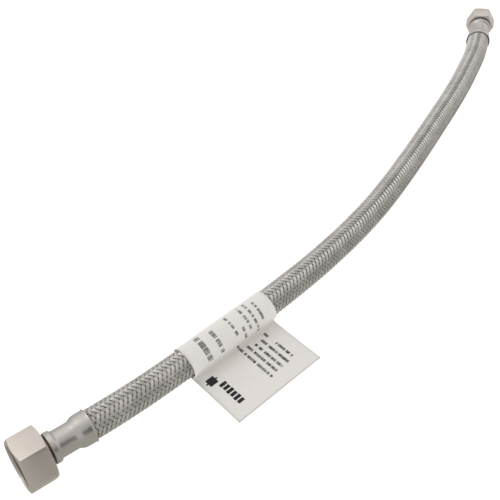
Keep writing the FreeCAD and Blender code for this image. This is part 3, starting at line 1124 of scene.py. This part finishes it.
@dataclass
class Studio:
    """A pale floor, soft lights and a plain dark card that bright metal mirrors.

    What metal sees of the floor turns paler over the span "further", in millimetres along Y.
    """

    floor_size: float = 6.0
    drop: float = 0.02 * MM
    floor: tuple = (0.45, 0.45, 0.45)
    glow: float = 0.92
    seen_in_metal: tuple = (0.49, 0.485, 0.44)
    seen_further: tuple = (0.80, 0.79, 0.77)
    further: tuple = (-80.0, 220.0)
    sky: tuple = (0.67, 0.67, 0.675)
    warm: tuple = (1.0, 0.955, 0.935)
    card: tuple = (0.06, 0.055, 0.05)
    card_place: tuple = (0.66, -0.62, 0.46)
    card_target: tuple = (-0.1, -0.14, 0.0)
    card_size: tuple = (1.1, 0.62)
    softboxes: tuple[Softbox, ...] = (
        Softbox("key_softbox", (-0.15, 0.55, 1.0), (2.2, 1.4), 3.2),
        Softbox("left_softbox", (-1.0, -0.2, 0.5), (0.8, 0.8), 1.1),
        Softbox("right_softbox", (1.0, 0.3, 0.42), (0.9, 0.45), 1.1),
        Softbox("spot_softbox", (-0.45, 0.1, 0.9), (0.26, 0.26), 0.42),
    )

    def build(self) -> None:
        """Set the floor, the lights and the card."""
        self._floor()
        self._world()
        for softbox in self.softboxes:
            self._light(softbox)
        self._card()

    def _floor(self) -> None:
        """A plain pale floor, a little darker and warmer where metal mirrors it."""
        work = Workpiece()
        bmesh.ops.create_grid(work.bm, x_segments=1, y_segments=1, size=self.floor_size / 2)
        piece = work.piece("studio_floor", Matrix.Translation((0, 0, -self.drop)))
        shader = Shader("studio_floor")
        shader.surface(Base_Color=self.floor, Roughness=0.9, Specular_IOR_Level=0.0,
                       Emission_Color=(1.0, 1.0, 1.0), Emission_Strength=self.glow)
        start, end = self.further
        share = ((shader.along(Vector((0, 1, 0))) - start) * (1 / (end - start))).clipped()
        shader.seen_in_metal(shader.blend(share, self.seen_in_metal, self.seen_further))
        piece.data.materials.append(shader.material)

    def _world(self) -> None:
        """Even light from all round."""
        world = bpy.data.worlds.new("studio")
        world.use_nodes = True
        background = world.node_tree.nodes["Background"]
        background.inputs[0].default_value = (*self.sky, 1.0)
        background.inputs[1].default_value = 1.0
        bpy.context.scene.world = world

    def _aimed(self, place: tuple, target: tuple) -> Matrix:
        """A frame at a place whose -Z looks at the target."""
        way = Vector(target) - Vector(place)
        return Matrix.Translation(place) @ way.to_track_quat("-Z", "Y").to_matrix().to_4x4()

    def _light(self, softbox: Softbox) -> None:
        """Hang one softbox."""
        data = bpy.data.lights.new(softbox.name, "AREA")
        data.shape = "RECTANGLE"
        data.size, data.size_y = softbox.size
        data.energy = softbox.watts
        data.color = self.warm
        lamp = show(softbox.name, data)
        lamp.matrix_world = self._aimed(softbox.place, (0.0, 0.0, 0.0))
        lamp.visible_camera = False

    def _card(self) -> None:
        """A dark card that only shows in bright metal."""
        work = Workpiece()
        bmesh.ops.create_grid(work.bm, x_segments=1, y_segments=1, size=0.5)
        bmesh.ops.scale(work.bm, vec=(*self.card_size, 1.0), verts=work.bm.verts)
        piece = work.piece("dark_card", self._aimed(self.card_place, self.card_target))
        shader = Shader("dark_card")
        shader.surface(Base_Color=(0.0, 0.0, 0.0), Specular_IOR_Level=0.0,
                       Emission_Color=self.card, Emission_Strength=1.0)
        piece.data.materials.append(shader.material)
        for ray in ("camera", "diffuse", "shadow", "transmission"):
            setattr(piece, f"visible_{ray}", False)


@dataclass
class Viewpoint:
    """Where the maker stands: over the near end, looking along the line."""

    place: tuple = (-0.0417, -0.3456, 0.29589)
    tilt: float = 43.683
    roll: float = 6.477
    lens: float = 55.85
    sensor: float = 36.0

    def build(self) -> None:
        """Make the scene's camera."""
        data = bpy.data.cameras.new("viewpoint")
        data.lens = self.lens
        data.sensor_width = self.sensor
        data.clip_start = 0.01
        camera = show("viewpoint", data)
        pitch, roll = radians(self.tilt), radians(self.roll)
        right = Vector((1, 0, 0))
        ahead = Vector((0, cos(pitch), -sin(pitch)))
        down = Vector((0, -sin(pitch), -cos(pitch)))
        x_axis = right * cos(roll) + down * sin(roll)
        y_axis = right * sin(roll) - down * cos(roll)
        turned = Matrix((x_axis, y_axis, -ahead)).transposed().to_4x4()
        camera.matrix_world = Matrix.Translation(self.place) @ turned
        bpy.context.scene.camera = camera


def main() -> None:
    """Build the supply line and its studio, in order."""
    bpy.context.scene.view_settings.view_transform = "Standard"
    Viewpoint().build()
    Studio().build()
    pipe_nut = SwivelNut(start=21.2, flats=24.0, length=13.2, back=2.0, neck=9.2, minor=19.1,
                         relief=20.6, relief_length=5.3, pitch=1.814)
    compression_nut = SwivelNut(start=21.0, flats=17.0, length=11.5, back=1.8, neck=8.4,
                                minor=13.2, relief=14.2, relief_length=5.5, pitch=1.058)
    pipe = EndFitting(Fitting.PIPE, pipe_nut, "fip_washer")
    compression = EndFitting(Fitting.COMPRESSION, compression_nut, "comp_seal")
    for end in (pipe, compression):
        end.build()
        end.dress()
    hose = Hose()
    hose.build()
    hose.dress(pipe.mouth, [compression.cup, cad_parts["comp_nipple"]])
    tag = PaperTag()
    tag.build()
    tag.dress()


if __name__ == "__main__":
    main()
